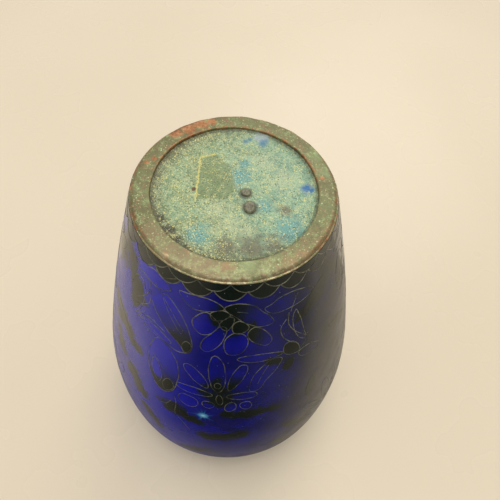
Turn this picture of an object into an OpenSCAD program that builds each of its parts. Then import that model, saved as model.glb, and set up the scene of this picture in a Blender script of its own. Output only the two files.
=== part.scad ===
// Cloisonne vase, turned over to stand on its mouth with its foot on top. Millimetres.
// Origin at the centre of the mouth's resting face, +Z towards the foot, -Y is the decorated front.
// Each piece is drawn foot down, with heights measured from the foot, and is then turned over.
// The vase is a spun copper body with a foot ring, a base disc and a mouth rim. Flat wires stand
// on the copper and fence off the cells, and each cell is filled with enamel level with the wires.

/* [Foot] */
// Outer radius of the foot ring at its resting face
foot_r = 22.5; // [18:0.1:28]
// Inner radius of the foot ring, as a share of its outer radius
foot_inner_share = 0.815; // [0.7:0.005:0.9]
// Height of the copper edge that shows below the enamel
foot_edge_h = 1.2; // [0.6:0.1:2.5]
// Full height of the foot ring, hidden part included
foot_ring_h = 2.6; // [2:0.1:4]
// Depth of the enamelled recess under the foot
recess_depth = 1.2; // [0.6:0.1:2]
// Radius of the rounding on the ring's outer edge
foot_round = 0.5; // [0.2:0.05:0.8]
// Radius of the larger blister on the recess enamel
blister_r = 1.35; // [0.5:0.05:2]

/* [Body] */
// Slope of the wall at the foot, from vertical, in degrees
foot_slope = 17.76; // [10:0.02:25]
// Slope where the long lower curve meets the belly curve, in degrees
belly_slope = 12.88; // [8:0.02:16]
// Radius of the long lower curve of the wall
lower_curve_r = 798; // [600:1:1000]
// Radius of the belly curve
belly_curve_r = 181; // [140:1:240]
// Thickness of the copper wall
copper_t = 0.8; // [0.5:0.05:1.5]

/* [Shoulder and mouth] */
// Height of the rounded shoulder above the belly
shoulder_h = 16.5; // [10:0.5:30]
// Distance from the axis to the centre of the shoulder curve
shoulder_in = 17; // [10:0.5:24]
// Radius of the hollow curve between shoulder and neck
neck_fillet = 2.4; // [1:0.1:5]
// Height of the whole vase
total_h = 127; // [120:0.5:150]
// Height of the copper mouth rim
rim_h = 1.8; // [1:0.1:3]
// How far the rim stands out past the neck
rim_lip = 1.4; // [0.5:0.1:3]

/* [Enamel and wires] */
// Thickness of the outer enamel
enamel_t = 0.9; // [0.5:0.05:1.5]
// Thickness of the lining enamel inside
lining_t = 0.46; // [0.2:0.02:0.8]
// Width of a cell wire
wire_w = 0.28; // [0.2:0.01:0.5]
// How far a wire stands proud of the polished enamel
wire_proud = 0.04; // [0:0.01:0.1]
// Width of the joint line between neighbouring pieces
joint = 0.02; // [0.01:0.01:0.05]

/* [Decoration] */
// Number of times the flower panel repeats round the body
panels = 3; // [1:1:3]
// Number of scales in each row of the border at the foot
scales = 22; // [16:1:28]
// Number of lappets round the mouth
lappets = 16; // [8:1:24]

/* [Hidden] */
$fn = 72;

foot_in = foot_r * foot_inner_share;
// Height and radius where the long lower curve meets the belly curve, and those of the belly.
meet_h = lower_curve_r * (sin(foot_slope) - sin(belly_slope));
meet_r = foot_r + lower_curve_r * (cos(belly_slope) - cos(foot_slope));
belly_h = meet_h + belly_curve_r * sin(belly_slope);
belly_r = meet_r + belly_curve_r * (1 - cos(belly_slope));
shoulder_w = belly_r - shoulder_in;
rim_z = total_h - rim_h;

// Wall slope and outer radius at height h, from the foot up to the belly.
function slope(h) = h < meet_h ? asin(sin(foot_slope) - h / lower_curve_r)
    : asin(max(0, sin(belly_slope) - (h - meet_h) / belly_curve_r));
function out_r(h) = h < meet_h ? foot_r + lower_curve_r * (cos(slope(h)) - cos(foot_slope))
    : meet_r + belly_curve_r * (cos(slope(h)) - cos(belly_slope));
// Point at depth t under the outer surface, level with height h, measured along the normal.
function wall_pt(h, t) = [out_r(h) - t * cos(slope(h)), h + t * sin(slope(h))];

// Shoulder: a quarter ellipse, and after it the hollow curve into the neck.
shoulder_end = 78;
function sh_raw(q) = [cos(q) / shoulder_w, sin(q) / shoulder_h];
function sh_n(q) = sh_raw(q) / norm(sh_raw(q));
function sh_p(q) = [shoulder_in + shoulder_w * cos(q), belly_h + shoulder_h * sin(q)];
function sh_pt(q, t) = sh_p(q) - t * sh_n(q);
hollow_c = sh_p(shoulder_end) + neck_fillet * sh_n(shoulder_end);
hollow_a0 = atan2(-sh_n(shoulder_end)[1], -sh_n(shoulder_end)[0]) + 360;
function hol_pt(b, t) = hollow_c + (neck_fillet + t) * [cos(b), sin(b)];
neck_r = hollow_c[0] - neck_fillet;

// Wall outline at depth t, from height h0 to the underside of the rim.
band = 14;
function wall_line(h0, t) = concat(
    [wall_pt(h0, t)],
    [for (i = [1 : band]) if (belly_h * i / band > h0 + 0.5) wall_pt(belly_h * i / band, t)],
    [for (q = [8, 16, 24, 32, 40, 48, 56, 64, 72, shoulder_end]) sh_pt(q, t)],
    [for (i = [1 : 4]) hol_pt(hollow_a0 + (180 - hollow_a0) * i / 4, t)],
    [[neck_r - t, rim_z - joint]]);
function flip(P) = [for (i = [len(P) - 1 : -1 : 0]) P[i]];

// Outline of a petal, bud or leaf on the unrolled wall, as [distance round, height] in mm.
// c = [angle and height of the root, angle and height of the tip, half width,
//      root bluntness, tip bluntness, sideways bow]; a smaller bluntness is a rounder end.
function petal(c, n) = petal_xy([c[0] * out_r(c[1]) * PI / 180, c[1]],
    [c[2] * out_r(c[3]) * PI / 180, c[3]], c, n);
function petal_xy(p0, p1, c, n) = let(
    d = (p1 - p0) / norm(p1 - p0),
    m = [-d[1], d[0]],
    a = c[5] / (c[5] + c[6]),
    top = pow(a, c[5]) * pow(1 - a, c[6]),
    f = [for (i = [0 : n]) (1 - cos(180 * i / n)) / 2],
    w = [for (s = f) c[4] * pow(s, c[5]) * pow(1 - s, c[6]) / top],
    line = [for (s = f) p0 + (p1 - p0) * s + m * c[7] * 4 * s * (1 - s)])
    concat([for (i = [0 : n]) line[i] + m * w[i]],
        [for (i = [n - 1 : -1 : 1]) line[i] - m * w[i]]);

// Outline grown (d > 0) or shrunk (d < 0) by d, corner by corner. The outline runs clockwise.
function side_n(p, q) = [p[1] - q[1], q[0] - p[0]] / norm(q - p);
function grow(P, d) = let(k = len(P)) [for (i = [0 : k - 1])
    let(n1 = side_n(P[(i + k - 1) % k], P[i]), n2 = side_n(P[i], P[(i + 1) % k]))
    P[i] + (n1 + n2) * d / max(1 + n1 * n2, 0.45)];

// The unrolled outline seen square on from angle am.
function facing(P, am) = [for (p = P) let(r = out_r(p[1]))
    [r * sin(p[0] / r * 180 / PI - am), p[1]]];
function low(P) = min([for (p = P) p[1]]);
function high(P) = max([for (p = P) p[1]]);

// A slice of the wall between two depths, wide enough in height for the outline P.
module wall_slice(P, t0, t1) {
    h0 = max(low(P) - 1, 0.2);
    h1 = min(high(P) + 1, belly_h);
    hs = concat([h0], [for (i = [1 : band - 1]) if (belly_h * i / band > h0 + 0.3
        && belly_h * i / band < h1 - 0.3) belly_h * i / band], [h1]);
    rotate_extrude()
    polygon(concat([for (h = hs) wall_pt(h, t0)], flip([for (h = hs) wall_pt(h, t1)])));
}

// A bar through the wall with the outline P, square to the wall at angle am.
module bar(P, am) {
    rotate([0, 0, am])
    rotate([90, 0, 0])
    translate([0, 0, out_r(low(P)) * 0.6])
    linear_extrude(height = out_r(high(P)) - out_r(low(P)) * 0.6 + 2)
    polygon(facing(P, am));
}

function axis_of(c) = (c[0] + c[2]) / 2;
function steps(c) = norm([(c[2] - c[0]) * 0.5, c[3] - c[1]]) > 9 ? 6 : 5;

// Enamel filling of a cell, with room left for the cells that stand inside it.
module filling(c, holes = []) {
    P = petal(c, steps(c));
    difference() {
        intersection() {
            wall_slice(P, 0, enamel_t);
            bar(grow(P, -wire_w / 2 - joint), axis_of(c));
        }
        for (k = holes) bar(grow(petal(k, steps(k)), wire_w / 2 + joint), axis_of(k));
    }
}

// Wire fence round a cell.
module fence(c) {
    P = petal(c, steps(c));
    intersection() {
        wall_slice(P, -wire_proud, enamel_t);
        difference() {
            bar(grow(P, wire_w / 2), axis_of(c));
            bar(grow(P, -wire_w / 2), axis_of(c));
        }
    }
}

// Room cut for a whole cell with its wire.
module room(c) {
    bar(grow(petal(c, steps(c)), wire_w / 2 + joint), axis_of(c));
}

// The same cells moved round the body by da degrees and up by dh millimetres.
function moved(L, da, dh) = [for (c = L)
    [c[0] + da, c[1] + dh, c[2] + da, c[3] + dh, c[4], c[5], c[6], c[7]]];

blossom = [[4.6, 8.7, 29.8, 7.3, 2.2, 0.55, 0.45, 0.2], [6.4, 12.9, 17, 16.8, 2.5, 0.62, 0.42, -0.2],
    [3.2, 15.7, 11.8, 23.5, 1.6, 0.6, 0.42, 0.1], [-3.9, 17.3, -1.4, 24.1, 2.5, 0.42, 0.5, 0],
    [-9.8, 15.9, -19.6, 22.9, 1.7, 0.55, 0.45, 0.6], [-3.4, 10.4, -20.2, 14.2, 1.4, 0.8, 0.45, -0.5],
    [2.6, 7.9, -12.5, 8.3, 0.9, 0.5, 0.5, 0.2]];
blossom_heart = [[1.4, 10, 8.4, 12, 0.85, 0.5, 0.5, 0], [-1.6, 11.8, 2.6, 14.9, 1.0, 0.5, 0.4, 0],
    [-6.0, 13.2, -5.8, 16.4, 1.35, 0.4, 0.4, 0]];
bud_low = [18.6, 27.2, 38.5, 11.2, 3.0, 0.42, 0.6, -0.5];
bud_low_tip = [20.3, 26.4, 20.5, 23.2, 0.8, 0.5, 0.5, 0];
bud_high = [29.5, 51, 32.5, 28.2, 4.3, 0.5, 0.5, 0];
bud_high_tip = [27.2, 48.4, 27, 43.2, 1.0, 0.5, 0.5, 0];
bud_high_in = [32, 47, 35, 36.4, 1.5, 0.6, 0.5, 0];
fan_top = [4.2, 41.8, 5.8, 25, 2.1, 0.5, 0.5, 0];
fan_eye = [4.4, 39.7, 4.4, 37, 0.85, 0.5, 0.5, 0];
fan = [[9, 40.2, 19.3, 31.2, 1.9, 0.6, 0.42, 0], [-0.4, 40.6, -7.2, 28.5, 1.6, 0.7, 0.42, 0],
    [6.8, 43.7, 23, 43, 1.8, 0.5, 0.35, 0], [0.4, 43.9, -13, 43.6, 1.7, 0.5, 0.35, 0],
    [-7.3, 47.2, -8.8, 51.6, 1.6, 0.4, 0.5, 0], [-2, 47.2, -0.6, 52.6, 1.5, 0.5, 0.5, 0],
    [8.2, 47.6, 8.4, 51.6, 1.7, 0.4, 0.5, 0], [17.2, 47, 17.4, 53.2, 2.9, 0.4, 0.5, 0]];
fan_heart = [[3.6, 43.4, 3.2, 48.8, 0.9, 0.5, 0.5, 0]];
side_flower = [[-25.4, 27.4, -3.9, 25.9, 1.5, 0.8, 0.55, 0], [-20.5, 31.8, -9, 39.8, 1.9, 0.6, 0.6, -0.3],
    [-33.4, 30.6, -45, 35, 1.9, 0.6, 0.6, 0], [-29.2, 29, -29.8, 24.4, 1.2, 0.5, 0.5, 0]];
leaves = [[31.2, 7.6, 56, 7.8, 1.6, 0.45, 0.7, 0], [-15.4, 9.7, -39, 10, 2, 0.45, 0.75, 0],
    [27, 25.4, 47, 23.6, 1.7, 0.55, 0.6, 0], [52.5, 25, 48.5, 11, 2.5, 0.6, 0.5, 0],
    [-37, 26.4, -32.5, 13.2, 1.2, 0.7, 0.7, 0.8]];
dark_leaves = [[-28.2, 31.4, -27, 37.5, 2.1, 0.5, 0.6, 0], [-54, 11, -43, 21, 2.4, 0.6, 0.6, 0],
    [-2, 57, -19, 55.2, 2.3, 0.6, 0.6, 0], [13.5, 57, 27, 62.8, 2.6, 0.6, 0.6, 0],
    [-3, 68, 4, 84, 3.4, 0.6, 0.6, 0], [42.5, 50, 45.5, 64, 2.9, 0.6, 0.6, 0],
    [51, 31, 55, 44, 2.6, 0.6, 0.6, 0], [-38, 45.5, -41, 60, 2.9, 0.6, 0.6, 0],
    [25, 70, 36, 82, 3.2, 0.6, 0.6, 0]];
// The far flower stands between two panels: the fan again, nearer the belly, without its lobes.
up_a = 64;
up_h = 37;
up_fan = moved(concat([fan[0], fan[1], fan[2], fan[3]], fan_heart), up_a, up_h);
up_fan_top = moved([fan_top], up_a, up_h)[0];
up_fan_eye = moved([fan_eye], up_a, up_h)[0];
all_cells = concat(blossom, blossom_heart, [bud_low, bud_high, fan_top], fan, fan_heart,
    side_flower, leaves, dark_leaves, up_fan, [up_fan_top]);

// Turns a finished piece over, foot upwards.
module placed() {
    translate([0, 0, total_h]) rotate([0, 180, 0]) children();
}
module round_body() {
    for (i = [0 : panels - 1]) rotate([0, 0, 120 * i]) children();
}

// Scale border. Heights of the top edge, the lower row's tips and the upper row's tips.
scale_step = 360 / scales;
scale_a = 0.4;
row_h = [1.05, 3.3, 5.5];
function unrolled(a, h) = [a * out_r(h) * PI / 180, h];
// Arc of one scale centred at angle 0, from hi at its ends to ho at its tip, over a share e of it.
function scale_arc(hi, ho, e, x0 = -1, x1 = 1, n = 6) = [for (i = [0 : n])
    let(x = (x0 + (x1 - x0) * i / n) * e) unrolled(x * scale_step / 2, ho - (ho - hi) * pow(abs(x), 2.2))];
function shifted(P, k) = [for (p = P) [p[0] + k * out_r(p[1]) * PI / 180, p[1]]];
row_1 = scale_arc(row_h[0] + 0.25, row_h[1], 1);
row_2 = scale_arc(row_h[1], row_h[2], 1);
cell_1 = concat(row_1, [unrolled(scale_step / 2, row_h[0]), unrolled(-scale_step / 2, row_h[0])]);
cell_2 = concat(row_2,
    flip(shifted(scale_arc(row_h[0] + 0.25, row_h[1], 1, -1, -0.15, 4), scale_step / 2)),
    flip(shifted(scale_arc(row_h[0] + 0.25, row_h[1], 1, 0.15, 0.97, 4), -scale_step / 2)));
function strip(P, w) = let(k = len(P)) concat(
    [for (i = [0 : k - 1]) P[i] + side_n(P[max(i - 1, 0)], P[min(i + 1, k - 1)]) * w],
    [for (i = [k - 1 : -1 : 0]) P[i] - side_n(P[max(i - 1, 0)], P[min(i + 1, k - 1)]) * w]);
strip_1 = strip(scale_arc(row_h[0] + 0.25, row_h[1], 0.93), wire_w / 2);
strip_2 = strip(scale_arc(row_h[1], row_h[2], 0.93), wire_w / 2);
room_2 = concat(row_2, [unrolled(scale_step / 2, 0.4), unrolled(-scale_step / 2, 0.4)]);

module each_scale(turn) {
    for (i = [0 : scales - 1]) rotate([0, 0, scale_a + turn + scale_step * i]) children();
}
module wall_piece(P, t0) {
    intersection() {
        wall_slice(P, t0, enamel_t);
        bar(P, 0);
    }
}

// Lappets lie on the shoulder round the neck, so their bars stand upright.
lap = [0, 24.8, 0, 33.5, 4.3, 0.35, 0.7, 0];
lap_step = 360 / lappets;
module lap_bar(d) {
    P = grow(petal_xy([lap[0], lap[1]], [lap[2], lap[3]], lap, 6), d);
    translate([0, 0, belly_h + 4])
    linear_extrude(height = 30)
    polygon([for (p = P) [p[0], -p[1]]]);
}
module lap_slice(t0) {
    qs = [48, 56, 64, 72, 78];
    rotate_extrude()
    polygon(concat([for (q = qs) sh_pt(q, t0)], flip([for (q = qs) sh_pt(q, enamel_t)])));
}
module each_lap() {
    for (i = [0 : lappets - 1]) rotate([0, 0, lap_step * i]) children();
}

// Shell of the whole wall between two depths, with a level lower edge at z0.
module shell(t0, t1, z0) {
    a = wall_line(z0, t0);
    b = wall_line(z0, t1);
    rotate_extrude()
    polygon(concat([[a[0][0] - (a[0][1] - z0) * tan(foot_slope), z0]], a, flip(b),
        [[b[0][0] - (b[0][1] - z0) * tan(foot_slope), z0]]));
}

module foot_ring() {
    color([0.52, 0.45, 0.33]) placed()
    rotate_extrude()
    polygon(concat(
        [[foot_in, 0.25], [foot_in + 0.25, 0], [foot_r - foot_round, 0]],
        [for (a = [-67.5 : 22.5 : 0])
            [foot_r - foot_round + foot_round * cos(a), foot_round + foot_round * sin(a)]],
        [[out_r(foot_edge_h), foot_edge_h], [foot_r - 0.55, foot_edge_h],
        [foot_r - 0.55, foot_ring_h], [foot_in, foot_ring_h]]));
}

module base_disc() {
    color([0.55, 0.38, 0.25]) placed()
    translate([0, 0, recess_depth + 0.65])
    cylinder(r = foot_in - joint, h = foot_ring_h - recess_depth - 0.65);
}

// Turquoise enamel in the recess, with its edge drawn up the ring's inner wall.
module base_enamel() {
    color([0.38, 0.62, 0.6]) placed()
    rotate_extrude()
    polygon([[0, recess_depth], [foot_in - 2.4, recess_depth], [foot_in - 1.2, recess_depth - 0.06],
        [foot_in - 0.5, recess_depth - 0.22], [foot_in - joint, recess_depth - 0.5],
        [foot_in - joint, recess_depth + 0.63], [0, recess_depth + 0.63]]);
}

// Two blisters left on the recess enamel by the firing.
module blister(r, x, y) {
    translate([x, y, recess_depth])
    rotate([180, 0, 0])
    rotate_extrude()
    polygon([[0, 0], [r, 0], [r * 0.92, r * 0.2], [r * 0.7, r * 0.36], [r * 0.35, r * 0.46], [0, r * 0.48]]);
}
module base_blisters() {
    color([0.4, 0.42, 0.36]) placed() {
        blister(blister_r, -3.3, -4.5);
        blister(blister_r * 0.8, -2.4, -0.5);
    }
}

module body_shell() {
    color([0.72, 0.43, 0.28]) placed()
    shell(enamel_t + joint, enamel_t + joint + copper_t, foot_ring_h + joint);
}

module lining_enamel() {
    t = enamel_t + copper_t + 2 * joint;
    z = foot_ring_h + joint;
    a = wall_line(z, t);
    b = wall_line(z + 0.5, t + lining_t);
    color([0.25, 0.42, 0.62]) placed()
    rotate_extrude()
    polygon(concat([[0, z], [a[0][0] - (a[0][1] - z) * tan(foot_slope), z]], a, flip(b),
        [[b[0][0] - (b[0][1] - z - lining_t) * tan(foot_slope), z + lining_t], [0, z + lining_t]]));
}

module mouth_rim() {
    rim_in = neck_r - enamel_t - copper_t - lining_t - 0.3;
    rim_out = neck_r + rim_lip;
    k = rim_h / 2;
    color([0.6, 0.5, 0.34]) placed()
    rotate_extrude()
    polygon(concat([[rim_in, rim_z + 0.2], [rim_in + 0.2, rim_z], [rim_out - k, rim_z]],
        [for (a = [-67.5 : 22.5 : 67.5]) [rim_out - k + k * cos(a), rim_z + k + k * sin(a)]],
        [[rim_out - k, total_h], [rim_in + 0.2, total_h], [rim_in, total_h - 0.2]]));
}

module ground_enamel() {
    color([0.08, 0.06, 0.55]) placed()
    difference() {
        rotate_extrude()
        polygon(concat(wall_line(foot_edge_h + joint, 0), flip(wall_line(foot_edge_h + joint, enamel_t))));
        each_scale(0) bar(grow(room_2, wire_w / 2 + joint), 0);
        round_body() for (c = all_cells) room(c);
        each_lap() lap_bar(wire_w / 2 + joint);
    }
}

module scale_row_lower_enamel() {
    color([0.05, 0.08, 0.07]) placed()
    each_scale(scale_step / 2) wall_piece(grow(cell_1, -wire_w / 2 - joint), 0);
}
module scale_row_upper_enamel() {
    color([0.04, 0.06, 0.06]) placed()
    each_scale(0) wall_piece(grow(cell_2, -wire_w / 2 - joint), 0);
}
module scale_row_lower_wires() {
    color([0.55, 0.5, 0.34]) placed()
    each_scale(scale_step / 2) wall_piece(strip_1, -wire_proud);
}
module scale_row_upper_wires() {
    color([0.55, 0.5, 0.34]) placed()
    each_scale(0) wall_piece(strip_2, -wire_proud);
}

module blossom_petal_enamel() {
    color([0.14, 0.1, 0.78]) placed() round_body() for (c = blossom) filling(c);
}
module blossom_centre_enamel() {
    color([0.05, 0.06, 0.05]) placed() round_body() for (c = blossom_heart) filling(c);
}
module blossom_wires() {
    color([0.58, 0.53, 0.36]) placed() round_body() for (c = concat(blossom, blossom_heart)) fence(c);
}
module bud_enamel() {
    color([0.07, 0.08, 0.3]) placed()
    round_body() {
        filling(bud_low, [bud_low_tip]);
        filling(bud_high, [bud_high_tip, bud_high_in]);
        filling(bud_high_in);
    }
}
module bud_tip_enamel() {
    color([0.04, 0.05, 0.06]) placed()
    round_body() {
        filling(bud_low_tip);
        filling(bud_high_tip);
    }
}
module bud_wires() {
    color([0.58, 0.53, 0.36]) placed()
    round_body() for (c = [bud_low, bud_low_tip, bud_high, bud_high_tip, bud_high_in]) fence(c);
}
module fan_petal_enamel() {
    color([0.14, 0.1, 0.76]) placed()
    round_body() {
        for (c = concat(fan, [for (i = [0 : 3]) up_fan[i]])) filling(c);
        filling(fan_top, [fan_eye]);
        filling(up_fan_top, [up_fan_eye]);
    }
}
module fan_centre_enamel() {
    color([0.05, 0.06, 0.05]) placed()
    round_body() for (c = concat(fan_heart, [fan_eye, up_fan[4], up_fan_eye])) filling(c);
}
module fan_wires() {
    color([0.58, 0.53, 0.36]) placed()
    round_body()
    for (c = concat([fan_top, fan_eye, up_fan_top, up_fan_eye], fan, fan_heart, up_fan)) fence(c);
}
module side_flower_enamel() {
    color([0.13, 0.1, 0.7]) placed() round_body() for (c = side_flower) filling(c);
}
module side_flower_wires() {
    color([0.58, 0.53, 0.36]) placed() round_body() for (c = side_flower) fence(c);
}
module leaf_enamel() {
    color([0.12, 0.1, 0.6]) placed() round_body() for (c = leaves) filling(c);
}
module leaf_wires() {
    color([0.58, 0.53, 0.36]) placed() round_body() for (c = leaves) fence(c);
}
module dark_leaf_enamel() {
    color([0.05, 0.07, 0.05]) placed() round_body() for (c = dark_leaves) filling(c);
}
module dark_leaf_wires() {
    color([0.5, 0.47, 0.32]) placed() round_body() for (c = dark_leaves) fence(c);
}
module lappet_enamel() {
    color([0.05, 0.07, 0.07]) placed()
    each_lap() intersection() {
        lap_slice(0);
        lap_bar(-wire_w / 2 - joint);
    }
}
module lappet_wires() {
    color([0.55, 0.5, 0.34]) placed()
    each_lap() intersection() {
        lap_slice(-wire_proud);
        difference() {
            lap_bar(wire_w / 2);
            lap_bar(-wire_w / 2);
        }
    }
}

foot_ring();
base_disc();
base_enamel();
base_blisters();
body_shell();
lining_enamel();
mouth_rim();
ground_enamel();
scale_row_lower_enamel();
scale_row_upper_enamel();
scale_row_lower_wires();
scale_row_upper_wires();
blossom_petal_enamel();
blossom_centre_enamel();
blossom_wires();
bud_enamel();
bud_tip_enamel();
bud_wires();
fan_petal_enamel();
fan_centre_enamel();
fan_wires();
side_flower_enamel();
side_flower_wires();
leaf_enamel();
leaf_wires();
dark_leaf_enamel();
dark_leaf_wires();
lappet_enamel();
lappet_wires();
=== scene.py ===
# Looks for a cloisonne vase that stands turned over on its mouth, foot upwards.
# Lengths are worked out in millimetres, as in the CAD, and turned into metres when a mesh is made.
import math

import bmesh
import bpy
import numpy as np
from mathutils import Matrix, Vector, noise


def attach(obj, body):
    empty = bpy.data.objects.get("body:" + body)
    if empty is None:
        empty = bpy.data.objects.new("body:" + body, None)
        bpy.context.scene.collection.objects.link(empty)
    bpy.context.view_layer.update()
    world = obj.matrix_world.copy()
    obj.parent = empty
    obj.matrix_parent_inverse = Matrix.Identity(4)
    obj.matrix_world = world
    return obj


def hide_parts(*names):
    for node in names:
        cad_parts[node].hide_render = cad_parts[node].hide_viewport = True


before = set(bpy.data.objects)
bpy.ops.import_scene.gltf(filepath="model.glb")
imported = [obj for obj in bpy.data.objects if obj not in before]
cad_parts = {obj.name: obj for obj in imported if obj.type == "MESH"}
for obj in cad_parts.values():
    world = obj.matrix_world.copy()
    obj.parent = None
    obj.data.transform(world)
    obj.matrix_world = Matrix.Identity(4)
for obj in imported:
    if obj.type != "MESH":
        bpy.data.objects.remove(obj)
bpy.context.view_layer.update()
MM = 0.001

# -------- sizes
# The same as the CAD's, but for the wires, which are 0.28 mm wide there.
FOOT_R = 22.5
FOOT_IN = FOOT_R * 0.815
EDGE_H = 1.2
RING_H = 2.6
RECESS = 1.2
FOOT_SLOPE, BELLY_SLOPE = 17.76, 12.88
LOWER_R, BELLY_CURVE = 798.0, 181.0
SHOULDER_H, SHOULDER_IN, SHOULDER_END, HOLLOW = 16.5, 17.0, 78, 2.4
TOTAL, RIM_H = 127.0, 1.8
ENAMEL_T, COPPER_T, LINING_T = 0.9, 0.8, 0.46
WIRE_W = 0.25
SCALES, LAPPETS = 22, 16
LAPPET_W, LAPPET_IN, LAPPET_OUT = 4.3, 24.8, 33.5   # half width, and radii of its two ends
LAPPET_ROOT, LAPPET_TIP = 0.35, 0.7                 # bluntness


def sind(d): return math.sin(math.radians(d))
def cosd(d): return math.cos(math.radians(d))


MEET_H = LOWER_R * (sind(FOOT_SLOPE) - sind(BELLY_SLOPE))
MEET_R = FOOT_R + LOWER_R * (cosd(BELLY_SLOPE) - cosd(FOOT_SLOPE))
BELLY_H = MEET_H + BELLY_CURVE * sind(BELLY_SLOPE)
BELLY_R = MEET_R + BELLY_CURVE * (1 - cosd(BELLY_SLOPE))
DRAWN_H = 0.3, BELLY_H - 0.2            # flowers and wires stay between these heights


def wall(h):
    """Radius, and the outward normal's two parts, at height h from the foot up to the belly."""
    h = np.asarray(h, float)
    s_low = sind(FOOT_SLOPE) - h / LOWER_R
    s_high = np.clip(sind(BELLY_SLOPE) - (h - MEET_H) / BELLY_CURVE, 0, 1)
    low = h < MEET_H
    s = np.where(low, s_low, s_high)
    c = np.sqrt(1 - s * s)
    r = np.where(low, FOOT_R + LOWER_R * (c - cosd(FOOT_SLOPE)),
                 MEET_R + BELLY_CURVE * (c - cosd(BELLY_SLOPE)))
    return r, c, -s


def place(angle, rad, h):
    """World point for an angle round the axis, a radius and a height above the foot, which is on top."""
    a = np.radians(angle)
    return np.stack([-np.sin(a) * rad, -np.cos(a) * rad, TOTAL - h + 0 * a], -1) * MM


def on_wall(angle, h, lift):
    r, nr, nh = wall(h)
    return place(angle, r + lift * nr, h + lift * nh)


def unrolled(u, h, turn, lift):
    """World point for a distance round the wall and a height."""
    return on_wall(np.degrees(u / wall(h)[0]) + turn, h, lift)


def flat(a, h):
    """Point on the unrolled wall for an angle and a height."""
    return [math.radians(a) * wall(h)[0], h]


def shoulder(q, lift):
    """Shoulder curve at q degrees past the belly."""
    w = BELLY_R - SHOULDER_IN
    q = np.radians(q)
    n = np.stack([np.cos(q) / w, np.sin(q) / SHOULDER_H], -1)
    n /= np.linalg.norm(n, axis=-1, keepdims=True)
    p = np.stack([SHOULDER_IN + w * np.cos(q), BELLY_H + SHOULDER_H * np.sin(q)], -1)
    return p + n * lift


def outline_rh(lift, h0):
    """Section of the wall from height h0 at the foot to the neck, as radius and height."""
    h = np.linspace(h0, BELLY_H, 130)
    r, nr, nh = wall(h)
    a = np.stack([r + lift * nr, h + lift * nh], -1)
    b = shoulder(np.linspace(0, SHOULDER_END, 40)[1:], lift)
    w = BELLY_R - SHOULDER_IN
    n = np.array([cosd(SHOULDER_END) / w, sind(SHOULDER_END) / SHOULDER_H])
    n /= np.linalg.norm(n)
    c = shoulder(SHOULDER_END, 0) + HOLLOW * n
    t0 = math.degrees(math.atan2(-n[1], -n[0])) + 360
    t = np.radians(np.linspace(t0, 180, 12)[1:])
    d = c + (HOLLOW - lift) * np.stack([np.cos(t), np.sin(t)], -1)
    neck = c[0] - HOLLOW
    e = np.array([[neck + lift, TOTAL - RIM_H - 0.02]])
    return np.concatenate([a, b, d, e]), neck


NECK_R = outline_rh(0, EDGE_H)[1]

# -------- small shader helpers
def sc(mm): return 1.0 / (mm * MM)      # texture scale for features this many millimetres across


def add(t, kind, props=None, **inputs):
    n = t.nodes.new(kind)
    for k, v in (props or {}).items():
        setattr(n, k, v)
    for k, v in inputs.items():
        s = n.inputs[int(k[1:])] if k[0] == "i" and k[1:].isdigit() else n.inputs[k.replace("_", " ")]
        if isinstance(v, bpy.types.NodeSocket):
            t.links.new(v, s)
        elif isinstance(v, tuple) and len(v) == 3 and s.type == "RGBA":
            s.default_value = (*v, 1)
        else:
            s.default_value = v
    return n


def coord(t):
    return add(t, "ShaderNodeTexCoord").outputs["Object"]


def noise_of(t, mm, detail=3.0, rough=0.55, distort=0.0):
    return add(t, "ShaderNodeTexNoise", None, Vector=coord(t), Scale=sc(mm), Detail=detail,
               Roughness=rough, Distortion=distort).outputs["Fac"]


def cells_of(t, mm, out="Distance"):
    return add(t, "ShaderNodeTexVoronoi", None, Vector=coord(t), Scale=sc(mm)).outputs[out]


def calc(t, op, a, b=0.0, clamp=False):
    return add(t, "ShaderNodeMath", {"operation": op, "use_clamp": clamp}, i0=a, i1=b).outputs[0]


def mul(t, a, b): return calc(t, "MULTIPLY", a, b)
def plus(t, a, b): return calc(t, "ADD", a, b)
def less(t, a, b): return calc(t, "SUBTRACT", a, b)
def most(t, a, b): return calc(t, "MAXIMUM", a, b)


def vec(t, op, a, b=(0, 0, 0), out=0):
    return add(t, "ShaderNodeVectorMath", {"operation": op}, i0=a, i1=b).outputs[out]


def span(t, v, lo, hi, to_lo=0.0, to_hi=1.0):
    return add(t, "ShaderNodeMapRange", {"interpolation_type": "SMOOTHSTEP"}, Value=v,
               From_Min=lo, From_Max=hi, To_Min=to_lo, To_Max=to_hi).outputs[0]


def blend(t, f, a, b):
    n = t.nodes.new("ShaderNodeMix")
    n.data_type, n.clamp_factor = "RGBA", True
    for s, v in ((n.inputs[0], f), (n.inputs[6], a), (n.inputs[7], b)):
        if isinstance(v, bpy.types.NodeSocket):
            t.links.new(v, s)
        else:
            s.default_value = (*v, 1) if isinstance(v, tuple) else v
    return n.outputs[2]


def bump(t, height, strength, depth_mm):
    return add(t, "ShaderNodeBump", None, Height=height, Strength=strength,
               Distance=depth_mm * MM).outputs[0]


def attr(t, name):
    return add(t, "ShaderNodeAttribute", {"attribute_name": name}).outputs["Fac"]


def blank(name):
    m = bpy.data.materials.new(name)
    m.use_nodes = True
    t = m.node_tree
    t.nodes.clear()
    return m, t, t.nodes.new("ShaderNodeOutputMaterial")


def material(name, **fixed):
    m, t, out = blank(name)
    b = t.nodes.new("ShaderNodeBsdfPrincipled")
    t.links.new(b.outputs[0], out.inputs[0])
    for k, v in fixed.items():
        b.inputs[k.replace("_", " ")].default_value = v

    def wire(**links):
        for k, v in links.items():
            t.links.new(v, b.inputs[k.replace("_", " ")])
    return m, t, wire


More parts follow.
